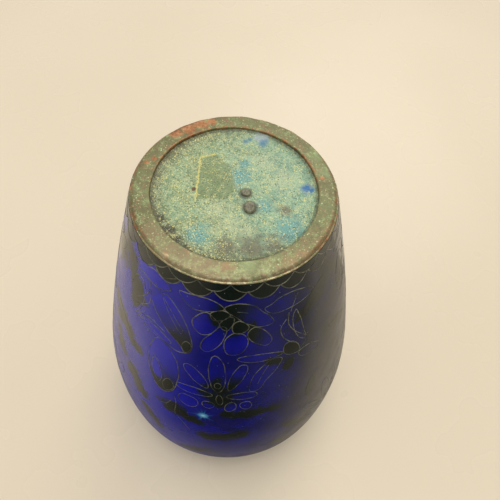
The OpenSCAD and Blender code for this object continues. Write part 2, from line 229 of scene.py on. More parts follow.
# -------- materials
def spot(t, x, y, size, soft, warp, ragged):
    """1 inside a round patch of that radius on the foot, 0 outside, in mm; warp roughens its edge."""
    p = vec(t, "MULTIPLY", coord(t), (1, 1, 0))
    d = vec(t, "DISTANCE", p, (x * MM, y * MM, 0), "Value")
    d = plus(t, d, mul(t, less(t, warp, 0.5), size * ragged * MM))
    return span(t, d, size * MM * (1 + soft), size * MM * (1 - soft))


def spots(t, rows, soft, warp, ragged):
    """Several round patches in one mask: rows of x, y and radius."""
    f = 0.0
    for x, y, size in rows:
        f = most(t, f, spot(t, x, y, size, soft, warp, ragged))
    return f


STAR_ANGLE, STAR_H = 10.3, 57.2


def star(t, c):
    """A painted highlight: a lamp's reflection painted into the glass colour as a small light-blue star,
    low on the front.
    """
    x, y, z = on_wall(STAR_ANGLE, STAR_H, 0.0)
    p = vec(t, "SUBTRACT", coord(t), (float(x), float(y), float(z)))
    far = vec(t, "LENGTH", p, out="Value")
    way = vec(t, "NORMALIZE", p)
    ray = add(t, "ShaderNodeTexNoise", None, Vector=way, Scale=3.6, Detail=2.0,
              Roughness=0.7).outputs["Fac"]
    reach = span(t, ray, 0.40, 0.64, 1.3 * MM, 5.0 * MM)
    share = calc(t, "DIVIDE", far, reach)
    c = blend(t, span(t, share, 1.0, 0.1, 0.0, 0.85), c, (0.012, 0.13, 0.45))
    c = blend(t, span(t, share, 0.6, 0.1, 0.0, 0.9), c, (0.05, 0.30, 0.65))
    c = blend(t, span(t, far, 2.0 * MM, 0.6 * MM, 0.0, 0.95), c, (0.10, 0.42, 0.75))
    return blend(t, span(t, far, 0.9 * MM, 0.2 * MM, 0.0, 0.8), c, (0.42, 0.74, 0.92))


def foot_axes(t):
    """Distance from the vase's axis, and the two plan coordinates."""
    p = vec(t, "MULTIPLY", coord(t), (1, 1, 0))
    far = vec(t, "LENGTH", p, out="Value")
    at = add(t, "ShaderNodeSeparateXYZ", None, i0=p)
    return far, at.outputs[0], at.outputs[1]


LIT_SIDE_SHARE, LIT_SIDE_GAIN = 0.6, 2.3      # painted light: how far one side goes to a blue so many times brighter


def enamel(name, bright, mid, deep, star_highlight=False):
    """Polished enamel: cloudy colour, painted light on one side, a soft change to black where 'ink' says,
    fine pinholes.
    """
    m, t, wire = material(name, IOR=1.5)
    cloud = noise_of(t, 9, 3, 0.6, distort=0.6)
    grain = noise_of(t, 4.5, 3, 0.55)
    c = blend(t, span(t, cloud, 0.34, 0.66), mid, bright)
    c = blend(t, mul(t, span(t, grain, 0.45, 0.75), 0.35), c, deep)
    # painted light: the -x side of the front is painted a brighter blue, as where more light falls on it
    x, y = foot_axes(t)[1:]
    clear = mul(t, span(t, x, -0.001, -0.022), span(t, y, 0.010, -0.010))
    c = blend(t, mul(t, clear, LIT_SIDE_SHARE), c, tuple(v * LIT_SIDE_GAIN for v in bright))
    # 'ink' also carries the painted shade on one side of the front
    ink = plus(t, attr(t, "ink"), mul(t, less(t, noise_of(t, 2.6, 4, 0.55), 0.5), 0.38))
    black = blend(t, noise_of(t, 3.5, 3), (0.003, 0.007, 0.006), (0.009, 0.018, 0.014))
    c = blend(t, span(t, ink, 0.12, 0.88), c, black)
    # painted highlight: the lamp's star-shaped reflection
    if star_highlight:
        c = star(t, c)
    pin = cells_of(t, 1.25)
    rare = span(t, add(t, "ShaderNodeSeparateColor", None, i0=cells_of(t, 1.25, out="Color")).outputs[0],
                0.80, 0.81)
    hole = mul(t, span(t, pin, 0.10, 0.05), rare)
    c = blend(t, mul(t, hole, 0.8), c, (0.30, 0.33, 0.36))
    rough = plus(t, span(t, noise_of(t, 6, 4, 0.6), 0.3, 0.75, 0.13, 0.25), mul(t, hole, 0.4))
    h = less(t, mul(t, noise_of(t, 0.5, 3, 0.6), 0.12), hole)
    h = plus(t, h, mul(t, noise_of(t, 2.4, 2), 0.7))
    wire(Base_Color=c, Roughness=rough, Normal=bump(t, h, 0.35, 0.05))
    return m


M_GROUND = enamel("ground_glass", (0.003, 0.005, 0.26), (0.002, 0.004, 0.14), (0.001, 0.002, 0.05),
                  star_highlight=True)
M_PETAL = enamel("petal_glass", (0.003, 0.005, 0.34), (0.002, 0.004, 0.20), (0.001, 0.002, 0.08))
M_DARK = enamel("dark_glass", (0.004, 0.005, 0.03), (0.003, 0.005, 0.02), (0.002, 0.003, 0.01))


def wire_metal(name, low, high, cold, metal=0.75):
    m, t, wire = material(name, Metallic=metal)
    n = noise_of(t, 1.4, 4, 0.65)
    c = blend(t, span(t, n, 0.35, 0.65), low, high)
    c = blend(t, span(t, noise_of(t, 7, 2), 0.55, 0.7), c, cold)
    c = blend(t, mul(t, span(t, noise_of(t, 4.5, 4, 0.65), 0.48, 0.62), 0.7), c, (0.02, 0.022, 0.03))
    wire(Base_Color=c, Roughness=span(t, n, 0.3, 0.7, 0.34, 0.6),
         Normal=bump(t, noise_of(t, 0.3, 3), 0.3, 0.03))
    return m


M_WIRE = wire_metal("wire_metal", (0.12, 0.13, 0.10), (0.32, 0.33, 0.25), (0.09, 0.115, 0.115))
M_WIRE_DARK = wire_metal("wire_metal_dark", (0.004, 0.006, 0.007), (0.010, 0.012, 0.012),
                         (0.004, 0.005, 0.008), 0.0)


def dots(t, mm, size, share):
    """Round specks, one in each cell of that many mm; share (a number or a socket) sets how many stay."""
    rnd = add(t, "ShaderNodeSeparateColor", None, i0=cells_of(t, mm, out="Color")).outputs[0]
    return mul(t, span(t, cells_of(t, mm), size, size * 0.5), span(t, plus(t, rnd, share), 0.98, 1.03))


def foot_copper(name, bare_share=0.0):
    """Worn copper under brown and green tarnish, with patches rubbed down to the metal, bright specks, a
    rubbed edge, and painted highlights on the outer edge's near side and the inner edge's far side.
    """
    m, t, wire = material(name)
    big = noise_of(t, 6, 4, 0.65, distort=0.8)
    mid_, fine = noise_of(t, 1.5, 5, 0.75), noise_of(t, 0.3, 4, 0.7)
    far, x, y = foot_axes(t)
    c = blend(t, span(t, big, 0.36, 0.6), (0.156, 0.150, 0.067), (0.186, 0.208, 0.093))
    c = blend(t, span(t, mid_, 0.48, 0.64), c, (0.26, 0.315, 0.145))
    c = blend(t, mul(t, span(t, noise_of(t, 2.4, 5, 0.7), 0.50, 0.64), 0.7), c, (0.26, 0.165, 0.09))
    c = blend(t, mul(t, span(t, fine, 0.5, 0.36), 0.5), c, (0.085, 0.075, 0.04))
    crust = span(t, plus(t, mul(t, fine, 0.6), mul(t, mid_, 0.4)), 0.55, 0.64)
    c = blend(t, mul(t, crust, 0.8), c, (0.47, 0.58, 0.33))
    c = blend(t, mul(t, dots(t, 0.5, 0.3, 0.3), 0.8), c, (0.68, 0.64, 0.32))
    c = blend(t, mul(t, dots(t, 0.9, 0.26, 0.16), 0.85), c, (0.48, 0.64, 0.36))
    # lighter towards the near side of the foot
    near_side_lighter = span(t, y, -0.012, -0.022)
    near_side_lighter = mul(t, near_side_lighter, span(t, x, 0.016, 0.004))
    c = blend(t, mul(t, near_side_lighter, span(t, mid_, 0.34, 0.66, 0.0, 0.55)), c, (0.52, 0.55, 0.31))
    warp = noise_of(t, 2.0, 6, 0.8)
    # tints: strength, colour, then rows of x, y and radius
    for amount, colour, rows in (
            (0.55, (0.35, 0.245, 0.155), ((-16.2, -13.4, 2.8), (-12.6, -16.6, 3.0), (-8.6, -18.8, 3.0),
                                          (-4.4, -20.0, 2.6))),
            (0.60, (0.42, 0.27, 0.145), ((11.5, -18.4, 1.6), (14.8, -16.2, 1.8), (17.9, -13.6, 1.7),
                                         (20.4, -9.9, 1.3), (-0.8, -19.2, 1.4))),
            (0.55, (0.29, 0.41, 0.20), ((3.0, -18.9, 1.7), (20.6, 5.5, 2.0), (18.4, 10.5, 1.8)))):
        for tx, ty, size in rows:
            tint = mul(t, spot(t, tx, ty, size, 0.8, warp, 3.0),
                       span(t, mid_, 0.3, 0.6, amount, amount * 0.4))
            c = blend(t, tint, c, colour)
    bare_and_highlight = spots(t, ((-14.3, 15.6, 1.7), (-11.6, 17.4, 2.0), (-8.6, 18.9, 1.7), (-6.2, 20.0, 1.1),
                     (-18.4, 7.2, 0.6), (-19.9, 6.0, 0.6), (-20.4, -11.0, 0.8), (-13.2, -17.5, 0.7),
                     (19.4, 3.6, 0.6)), 0.35, warp, 2.6)
    # the outer edge is rubbed through to the copper; the far side's inner edge gets a painted highlight in
    # copper colour
    flaky = noise_of(t, 2.2, 5, 0.75)
    edge = mul(t, span(t, far, (FOOT_R - 0.95) * MM, (FOOT_R - 0.3) * MM),
               span(t, flaky, 0.44, 0.60, 0.0, 0.9))
    painted_lip_highlight = mul(t, span(t, far, (FOOT_IN + 0.75) * MM, (FOOT_IN + 0.25) * MM), span(t, flaky, 0.46, 0.56))
    painted_lip_highlight = mul(t, painted_lip_highlight, span(t, y, -0.004, 0.006))
    # from here the mask also carries the painted highlight on the far inner edge
    bare_and_highlight = most(t, mul(t, bare_and_highlight, 0.9), most(t, edge, mul(t, painted_lip_highlight, 0.8)))
    bare_and_highlight = most(t, bare_and_highlight, bare_share)
    copper = blend(t, span(t, mid_, 0.35, 0.65), (0.24, 0.095, 0.042), (0.48, 0.22, 0.105))
    # painted highlight: a champagne colour on the near side of the outer edge, mixed into the copper
    painted_edge_highlight = mul(t, span(t, far, (FOOT_R - 1.3) * MM, (FOOT_R - 0.8) * MM), span(t, y, -0.0135, -0.019))
    painted_edge_highlight = mul(t, painted_edge_highlight, span(t, noise_of(t, 0.9, 4, 0.7), 0.42, 0.6, 0.35, 1.0))
    copper = blend(t, painted_edge_highlight, copper, (0.58, 0.56, 0.37))
    c = blend(t, mul(t, bare_and_highlight, span(t, fine, 0.3, 0.5, 0.45, 1.0)), c, copper)
    metal = plus(t, mul(t, bare_and_highlight, 0.45), 0.3)
    rough = less(t, span(t, mid_, 0.3, 0.7, 0.40, 0.60), mul(t, bare_and_highlight, 0.1))
    h = plus(t, mul(t, mid_, 1.2), mul(t, fine, 0.9))
    wire(Base_Color=c, Metallic=metal, Roughness=rough, Normal=bump(t, h, 0.7, 0.09))
    return m


M_FOOT = foot_copper("foot_copper_aged")
M_RIM = foot_copper("rim_copper_aged", 0.25)
M_COPPER = foot_copper("inner_copper", 0.8)


def half_planes(t, points, warp):
    """Metres inside a convex patch drawn clockwise in plan, and metres from its first two sides."""
    p = vec(t, "MULTIPLY", coord(t), (1, 1, 0))
    inside, first = None, None
    for i, (x0, y0) in enumerate(points):
        x1, y1 = points[(i + 1) % len(points)]
        n = Vector((y1 - y0, x0 - x1, 0)).normalized()
        d = vec(t, "DOT_PRODUCT", p, tuple(n), "Value")
        d = plus(t, less(t, d, (n.x * x0 + n.y * y0) * MM), mul(t, warp, 0.9 * MM))
        inside = d if inside is None else calc(t, "MINIMUM", inside, d)
        if i == 1:
            first = inside
    return inside, first


def recess_enamel():
    """Turquoise counter-enamel, thick with cream and gold specks, with olive, blue and brown patches."""
    m, t, wire = material("recess_glass", Specular_IOR_Level=0.3)
    warp = noise_of(t, 2.0, 6, 0.8)
    far, x, y = foot_axes(t)
    big = noise_of(t, 6, 5, 0.7, distort=0.7)
    mid_, fine = noise_of(t, 1.3, 5, 0.75), noise_of(t, 0.32, 4, 0.7)
    left = span(t, x, 0.013, -0.010)
    c = blend(t, span(t, big, 0.38, 0.62), (0.165, 0.335, 0.26), (0.295, 0.48, 0.33))
    c = blend(t, mul(t, left, span(t, big, 0.6, 0.4, 0.35, 0.85)), c, (0.23, 0.29, 0.14))
    c = blend(t, mul(t, span(t, mid_, 0.47, 0.62), 0.55), c, (0.46, 0.56, 0.34))

    def patches(c, rows, colour, amount, soft=0.6, ragged=2.4):
        return blend(t, mul(t, spots(t, rows, soft, warp, ragged), amount), c, colour)
    c = patches(c, ((1.2, 4.1, 2.3), (2.6, 8.0, 1.5), (6.5, -3.8, 1.5), (11.9, -10.1, 3.0),
                    (-7.4, -11.8, 2.4)),
                (0.10, 0.34, 0.37), 0.75)
    c = patches(c, ((6.0, 8.8, 2.6), (10.5, 3.6, 2.8), (-3.9, -5.2, 2.4), (-0.9, -9.0, 2.6),
                    (2.4, -10.6, 1.8)),
                (0.52, 0.60, 0.38), 0.5, 0.8)
    wobble = less(t, warp, 0.5)
    inside, side = half_planes(t, ((-8.5, -3.0), (-8.2, 9.4), (-4.6, 10.6), (-0.9, 6.5), (0.3, 0.3),
                                   (-1.6, -2.6)), wobble)
    c = blend(t, span(t, inside, -0.0003, 0.0006, 0.0, 0.72), c, (0.20, 0.265, 0.12))
    # brown smears; grime and painted shade along the wall, heavier on the near -x side
    c = patches(c, ((10.9, -4.7, 1.3), (3.7, -14.4, 3.0), (-1.4, -14.6, 2.2), (8.4, -13.6, 2.2)),
                (0.155, 0.135, 0.09), 0.8, 0.8, 4.0)
    grime_and_shade = mul(t, span(t, far, (FOOT_IN - 4.2) * MM, (FOOT_IN - 0.1) * MM),
                span(t, mid_, 0.6, 0.4, 0.55, 1.0))
    grime_and_shade = mul(t, grime_and_shade, span(t, plus(t, x, mul(t, y, 0.5)), 0.012, -0.010, 0.25, 1.0))
    c = blend(t, mul(t, grime_and_shade, 0.95), c, (0.12, 0.12, 0.06))
    # painted shade, partly grime, in the corner where the glass meets the ring's wall
    corner = mul(t, span(t, far, (FOOT_IN - 0.8) * MM, (FOOT_IN - 0.35) * MM),
                 span(t, mid_, 0.6, 0.4, 0.5, 0.9))
    # painted shade, partly grime: dark patches along the wall on the near -x side
    c = patches(c, ((-15.6, -8.5, 1.3), (-13.6, -11.0, 1.5), (-11.4, -13.3, 1.2), (-9.0, -15.2, 0.9)),
                (0.03, 0.03, 0.018), 0.9, 0.6, 3.4)
    # cream and gold flecks of four sizes over everything, thicker on one side
    smear = spot(t, 3.4, -14.6, 3.2, 0.9, warp, 3.0)
    dense = plus(t, span(t, noise_of(t, 2.2, 6, 0.8), 0.38, 0.64, -0.05, 0.6), mul(t, left, 0.16))
    dense = less(t, dense, mul(t, most(t, smear, span(t, inside, 0, 0.001, 0, 0.5)), 0.4))
    for mm, size, colour in ((0.85, 0.24, (0.70, 0.68, 0.27)), (0.5, 0.34, (0.84, 0.77, 0.28)),
                             (0.3, 0.42, (0.80, 0.74, 0.32)), (0.22, 0.46, (0.66, 0.70, 0.38))):
        c = blend(t, mul(t, dots(t, mm, size, dense), 0.9), c, colour)
    c = blend(t, mul(t, span(t, fine, 0.49, 0.36), span(t, mid_, 0.62, 0.42, 0.45, 0.95)), c,
              (0.055, 0.085, 0.05))
    c = blend(t, mul(t, dots(t, 0.7, 0.26, 0.3), 0.85), c, (0.035, 0.05, 0.03))
    # the painted corner shade goes on here
    c = blend(t, mul(t, corner, 0.75), c, (0.075, 0.068, 0.034))
    line = mul(t, span(t, calc(t, "ABSOLUTE", side), 0.00034, 0.0001), span(t, inside, -0.0006, 0.0))
    c = blend(t, mul(t, line, span(t, fine, 0.4, 0.55, 0.3, 0.9)), c, (0.68, 0.62, 0.20))
    c = patches(c, ((16.0, 1.4, 1.15), (16.9, 0.9, 0.8)), (0.02, 0.14, 0.38), 0.95, 0.6, 2.8)
    c = patches(c, ((6.1, 15.9, 1.2), (5.0, 16.3, 0.9)), (0.36, 0.46, 0.52), 0.85, 0.7, 3.0)
    c = patches(c, ((6.4, 14.6, 1.0), (2.1, 15.0, 0.7), (3.1, 15.6, 0.5)),
                (0.03, 0.17, 0.34), 0.8, 0.7, 3.0)
    c = patches(c, ((-9.1, 0.1, 0.5),), (0.12, 0.045, 0.02), 0.9, 0.4)
    c = patches(c, ((2.4, -0.6, 1.55), (3.3, -4.5, 1.8)), (0.045, 0.045, 0.03), 0.75, 0.25, 0.7)
    h = plus(t, mul(t, mid_, 1.0), mul(t, fine, 0.8))
    wire(Base_Color=c, Roughness=span(t, mid_, 0.35, 0.7, 0.24, 0.46), Normal=bump(t, h, 0.6, 0.08))
    return m


M_RECESS = recess_enamel()


def plain_glass(name, a, b, mm, rough):
    m, t, wire = material(name)
    n = noise_of(t, mm, 4, 0.6)
    wire(Base_Color=blend(t, span(t, n, 0.35, 0.65), a, b),
         Roughness=span(t, n, 0.3, 0.7, rough, rough + 0.2),
         Normal=bump(t, noise_of(t, mm * 0.3, 3), 0.4, 0.05))
    return m


M_BLISTER = plain_glass("blister_glass", (0.10, 0.10, 0.065), (0.20, 0.20, 0.13), 0.8, 0.2)
M_LINING = plain_glass("lining_glass", (0.06, 0.16, 0.24), (0.12, 0.26, 0.32), 5, 0.25)

# -------- mesh helpers
def linked(name, data):
    ob = bpy.data.objects.new(name, data)
    bpy.context.scene.collection.objects.link(ob)
    return ob


def mesh_piece(name, verts, faces, mat, node, sharp=40, ink=None, extra=()):
    """One shown piece: it rides on the body, stands for its CAD node and takes that node's finish."""
    me = bpy.data.meshes.new(name)
    me.from_pydata([tuple(v) for v in verts], [], faces)
    me.materials.append(mat)
    me.validate()
    b = bmesh.new()
    b.from_mesh(me)
    bmesh.ops.recalc_face_normals(b, faces=b.faces)
    b.to_mesh(me)
    b.free()
    me.shade_smooth()
    me.set_sharp_from_angle(angle=math.radians(sharp))
    if ink is not None:
        a = me.attributes.new("ink", "FLOAT", "POINT")
        a.data.foreach_set("value", np.asarray(ink, np.float32))
    ob = linked(name, me)
    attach(ob, "root")
    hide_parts(node, *extra)
    return ob


def revolve(section, steps):
    """Closed solid of revolution from a closed section of radii and heights above the foot."""
    sec = np.asarray(section, float)
    verts, faces, rings = [], [], []
    ang = np.arange(steps) * 360.0 / steps
    for r, h in sec:
        if r < 1e-6:
            rings.append([len(verts)])
            verts.append(place(0.0, 0.0, h))
        else:
            rings.append(list(range(len(verts), len(verts) + steps)))
            verts.extend(place(ang, np.full(steps, r), np.full(steps, h)))
    for i in range(len(rings)):
        a, b = rings[i], rings[(i + 1) % len(rings)]
        if len(a) == 1 and len(b) == 1:
            continue
        for k in range(steps):
            k2 = (k + 1) % steps
            if len(a) == 1:
                faces.append((a[0], b[k2], b[k]))
            elif len(b) == 1:
                faces.append((a[k], a[k2], b[0]))
            else:
                faces.append((a[k], a[k2], b[k2], b[k]))
    return np.array(verts), faces


def roughen(v, size_mm, depth_mm, seed=0.0):
    """Smooth noise between -depth and +depth, in metres, for points in metres."""
    s = sc(size_mm)
    near = (Vector((p[0] * s + seed, p[1] * s - seed, p[2] * s)) for p in v)
    return np.array([noise.noise(q) for q in near]) * depth_mm * MM


class Build:
    """Gathers closed patches and ribbons into one mesh."""

    def __init__(self):
        self.v, self.f, self.ink = [], [], []

    def take(self, verts, faces, ink):
        k = len(self.v)
        self.v.extend(verts)
        self.f.extend([tuple(i + k for i in f) for f in faces])
        self.ink.extend(ink)


WANDER_MM, WANDER_BY = 3.4, 0.22


def wander(u, v, turn):
    """The hand-bent wires stray a little from the drawn lines."""
    out = []
    for a, b in zip(np.ravel(u), np.ravel(v)):
        p = Vector((a / WANDER_MM, b / WANDER_MM, turn * 0.37))
        out.append((noise.noise(p), noise.noise(p + Vector((31, 7, 3)))))
    d = np.array(out).reshape(np.shape(u) + (2,)) * WANDER_BY
    return u + d[..., 0], v + d[..., 1]


def bulge(s, root, tip):
    """Width of a cell at share s of the way along it, 1 where it is widest."""
    a = root / (root + tip)
    return s ** root * (1 - s) ** tip / (a ** root * (1 - a) ** tip)


def cell_sides(c, n):
    """Both sides of a cell from root to tip, on the unrolled wall, and the share of the way along."""
    s = (1 - np.cos(np.pi * np.arange(n + 1) / n)) / 2
    if isinstance(c, dict):
        per = 8
        p = smooth_path(c["rows"], closed=True, per=per)
        k = c["tip"] * per
        sides = []
        for q in (p[:k + 1], np.concatenate([p[k:], p[:1]])[::-1]):
            way = np.concatenate([[0], np.cumsum(np.linalg.norm(np.diff(q, axis=0), axis=1))])
            sides.append(np.stack([np.interp(s * way[-1], way, q[:, i]) for i in (0, 1)], -1))
        return sides[1], sides[0], s
    p0, p1 = np.array(flat(*c[:2])), np.array(flat(*c[2:4]))
    d = (p1 - p0) / np.linalg.norm(p1 - p0)
    m = np.array([-d[1], d[0]])
    w = c[4] * bulge(s, c[5], c[6])
    line = p0 + (p1 - p0) * s[:, None] + m * (c[7] * 4 * s * (1 - s))[:, None]
    return line + m * w[:, None], line - m * w[:, None], s


def cell_outline(c):
    if isinstance(c, dict):
        return smooth_path(c["rows"], closed=True, per=5)
    one, two = cell_sides(c, 30)[:2]
    return np.concatenate([one, two[-2:0:-1]])


def plate_faces(top, low, flip=True):
    """Faces of a closed plate from the rows of point numbers on its two sides; end rows are one point."""
    faces = []
    for side, turned in ((top, False), (low, flip)):
        for a, d in zip(side, side[1:]):
            for j in range(max(len(a), len(d)) - 1):
                if len(a) == 1:
                    f = (a[0], d[j], d[j + 1])
                elif len(d) == 1:
                    f = (a[j], d[0], a[j + 1])
                else:
                    f = (a[j], d[j], d[j + 1], a[j + 1])
                faces.append(f[::-1] if turned else f)
    for i in range(len(top) - 1):
        for e in (0, -1):
            f = (top[i][e], top[i + 1][e], low[i + 1][e], low[i][e])
            faces.append(f if e or not flip else f[::-1])
    return faces


def patch(b, c, lift, ink, turn):
    """Closed plate of enamel with the outline of cell c, lying on the wall."""
    n, k, thick = 26, 10, 0.3
    one, two, s = cell_sides(c, n)
    t = np.linspace(-1, 1, k + 1)
    verts, inks, top, low = [], [], [], []
    for side, depth in ((top, lift), (low, lift - thick)):
        for i in range(n + 1):
            ts = t if 0 < i < n else np.array([0.0])
            uv = (one[i] + two[i]) / 2 + (one[i] - two[i]) / 2 * ts[:, None]
            u, v = wander(uv[:, 0], uv[:, 1], turn)
            v = np.clip(v, *DRAWN_H)
            side.append(list(range(len(verts), len(verts) + len(ts))))
            verts.extend(unrolled(u, v, turn, depth))
            inks.extend(ink(s[i], ts))
    b.take(verts, plate_faces(top, low), inks)


def ribbon(b, pts, turn, lift=0.0, closed=True, w=WIRE_W, rise=0.05, at=None):
    """Flat wire on edge: it follows pts on the unrolled wall, with a softly rounded top."""
    p = np.asarray(pts, float)
    if closed:
        ahead, back = np.roll(p, -1, 0), np.roll(p, 1, 0)
    else:
        ahead, back = np.vstack([p[1:], p[-1:] * 2 - p[-2:-1]]), np.vstack([p[:1] * 2 - p[1:2], p[:-1]])
    d = ahead - back
    d /= np.maximum(np.linalg.norm(d, axis=1, keepdims=True), 1e-6)
    m = np.stack([-d[:, 1], d[:, 0]], -1)
    rows = ((-0.5, -0.3), (-0.5, 0.0), (-0.28, rise * 0.8), (0.0, rise), (0.28, rise * 0.8), (0.5, 0.0),
            (0.5, -0.3))
    verts, faces = [], []
    swell = 1 + 0.25 * np.array([noise.noise(Vector((q[0] / 2, q[1] / 2, turn))) for q in p])
    for share, up in rows:
        q = p + m * (share * w * swell)[:, None]
        if at:
            verts.extend(at(q, lift + up))
        else:
            verts.extend(unrolled(q[:, 0], q[:, 1], turn, lift + up))
    n, r = len(p), len(rows)
    for i in range(n if closed else n - 1):
        i2 = (i + 1) % n
        for j in range(r):
            j2 = (j + 1) % r
            faces.append((j * n + i, j2 * n + i, j2 * n + i2, j * n + i2))
    if not closed:
        faces.append(tuple(j * n for j in range(r))[::-1])
        faces.append(tuple(j * n + n - 1 for j in range(r)))
    b.take(verts, faces, [0.0] * len(verts))


def smooth_path(rows, closed=False, per=6):
    """Smooth curve on the unrolled wall through points of (angle, height)."""
    p = np.array([flat(a, h) for a, h in rows])
    n = len(p)
    out = []
    for i in range(n if closed else n - 1):
        p0 = p[(i - 1) % n] if closed or i else p[0] * 2 - p[1]
        p1, p2 = p[i], p[(i + 1) % n]
        p3 = p[(i + 2) % n] if closed or i < n - 2 else p2 * 2 - p1
        for t in np.arange(per) / per:
            out.append(0.5 * (2 * p1 + (p2 - p0) * t + (2 * p0 - 5 * p1 + 4 * p2 - p3) * t * t
                              + (3 * p1 - p0 - 3 * p2 + p3) * t ** 3))
    if not closed:
        out.append(p[-1])
    return np.array(out)


# -------- the drawn cells
# Angles in degrees round the axis, heights in mm above the foot. A simple cell is a row: angle and height
# of the root, angle and height of the tip, half width, root and tip bluntness, sideways bow.
# A drawn cell is a closed smooth line through points, from its root round its tip and back.
def drawn(tip, *rows): return {"tip": tip, "rows": rows}


BLOSSOM = [
    drawn(5, (3, 8.2), (6, 9), (11, 9.7), (16, 10), (21, 9), (25.5, 6.4), (21, 6.1), (16, 5.8), (11, 5.9),
        (6, 6.8)),
    drawn(5, (4.8, 13.4), (7.5, 11.5), (11, 10.1), (15, 11.2), (17.5, 13.5), (17, 16), (13, 17.6),
          (8.5, 16.7)),
    drawn(4, (1.6, 14.6), (4.5, 14), (8.5, 16.8), (12, 19.5), (13, 22.6), (10, 23.6), (6, 21.6),
          (2.8, 18.8)),
    drawn(4, (-.8, 16.3), (1.6, 18.4), (2.6, 21.2), (1.2, 23.5), (-2, 24.2), (-5.8, 23.2), (-8.2, 20.6),
        (-7.8, 17.6), (-4.4, 16.1)),
    drawn(4, (-8.2, 16.6), (-9.8, 15), (-12.5, 14.6), (-16, 16.2), (-19.4, 20.2), (-16.8, 22), (-13, 20.6),
        (-9.6, 18.8)),
    drawn(6, (2.5, 8.4), (1, 7.2), (-4, 6.6), (-11, 7.5), (-15, 9.8), (-19, 12), (-20.3, 14.2), (-14, 14.6),
        (-9, 13.4), (-4, 11.4))]
BLOSSOM_HEART = [
    drawn(4, (9.4, 10.2), (8.2, 12), (5, 12.1), (2.4, 11.4), (0, 9.9), (3, 8.7), (6.4, 9)),
    drawn(3, (4.6, 13.2), (3.6, 14.6), (1.3, 15), (-1.4, 12.9), (-1.6, 11.1), (.4, 10.6), (3, 11.7)),
    drawn(4, (-.9, 14.8), (-2.2, 16), (-5.2, 16.1), (-8.6, 14.6), (-7.4, 12.9), (-4.2, 12), (-1.8, 12.8))]
BUD_LOW = drawn(8, (20.5, 27), (18, 26), (16.9, 24), (17.2, 21.6), (19, 18), (22.5, 14), (27.5, 11),
    (31.6, 9.6), (34, 10), (37.8, 12), (40, 14.5), (37.5, 16.8), (33.5, 19.2), (29, 21.6), (24.6, 23.4),
    (22, 25.2))
BUD_LOW_TIP = drawn(3, (21.6, 25.2), (21.6, 23.5), (20, 22.1), (17.8, 22.8), (17.3, 24.6), (19.8, 26.6))
BUD_HIGH = drawn(8, (30.5, 51), (26.2, 49.6), (23.8, 45.6), (22.4, 40), (22.4, 36), (24, 32),
    (27, 28.6), (31, 26.6), (35, 27), (37.4, 30.5), (38.5, 35), (38.5, 39.5), (36.8, 44.5), (34, 49))
BUD_HIGH_TIP = drawn(3, (28.5, 49.5), (30, 46.6), (28, 43.2), (26, 43), (24.5, 45.2), (26, 48.5))
BUD_HIGH_IN = (32, 47, 35, 36.4, 1.5, .6, .5, 0)
FAN_TOP = (4.2, 41.8, 5.8, 25, 2.1, .5, .5, 0)
FAN_EYE = (4.4, 39.7, 4.4, 37, .85, .5, .5, 0)
FAN = [
    (9, 40.2, 19.3, 31.2, 1.9, .6, .42, 0), (-.4, 40.6, -7.2, 28.5, 1.6, .7, .42, 0),
    (6.8, 43.7, 23, 43, 1.8, .5, .35, 0), (.4, 43.9, -13, 43.6, 1.7, .5, .35, 0),
    (-7.3, 47.2, -8.8, 51.6, 1.6, .4, .5, 0), (-2, 47.2, -.6, 52.6, 1.5, .5, .5, 0),
    (8.2, 47.6, 8.4, 51.6, 1.7, .4, .5, 0), (17.2, 47, 17.4, 53.2, 2.9, .4, .5, 0)]
FAN_HEART = [(3.6, 43.4, 3.2, 48.8, .9, .5, .5, 0)]
SIDE_FLOWER = [
    (-25.4, 27.4, -3.9, 25.9, 1.5, .8, .55, 0),
    drawn(4, (-24.5, 29.6), (-19.5, 28.4), (-14, 31.4), (-10.2, 35.6), (-9.6, 41.5), (-14.2, 41),
        (-17, 37.2), (-21.5, 33.6)),
    (-33.4, 30.6, -45, 35, 1.9, .6, .6, 0)]
SIDE_HEART = drawn(3, (-25, 26.4), (-26.4, 24.2), (-30, 24.6), (-33.3, 27.6), (-33.4, 30), (-30, 29.9),
    (-26.6, 28.6))
LEAVES = [
    drawn(5, (56, 7.2), (47, 5.6), (41, 5), (36, 5.4), (32.4, 6.2), (30, 7.6), (35, 9), (40, 9.3),
        (46, 8.8), (51.5, 8.8)),
    drawn(6, (-16, 9.2), (-19.5, 8.3), (-24, 7.1), (-31, 6.9), (-37, 7.8), (-41.5, 8.9), (-43.5, 10.5),
        (-38, 11.3), (-29, 11.6), (-20, 11.2)),
    (27, 25.4, 47, 23.6, 1.7, .55, .6, 0), (52.5, 25, 48.5, 11, 2.5, .6, .5, 0),
    (-37, 26.4, -32.5, 13.2, 1.2, .7, .7, .8)]
DARK_LEAVES = [
    (-28.2, 31.4, -27, 36.5, 1.7, .5, .6, 0), (-52, 9.5, -37, 16.5, 2.1, .6, .6, 0),
    (-3, 54.6, -16, 55.4, 2.4, .5, .6, 0), (27.5, 58.6, 16.5, 60.4, 2.5, .5, .6, 0),
    (6, 73, -5.5, 70.4, 2.4, .5, .5, 0), (51, 53.5, 39, 66, 2.1, .6, .6, 0),
    (66, 32, 48, 41, 1.9, .6, .6, 0), (-41, 50, -39, 61, 1.6, .6, .6, 0), (41, 72, 31, 82, 1.6, .6, .6, 0)]
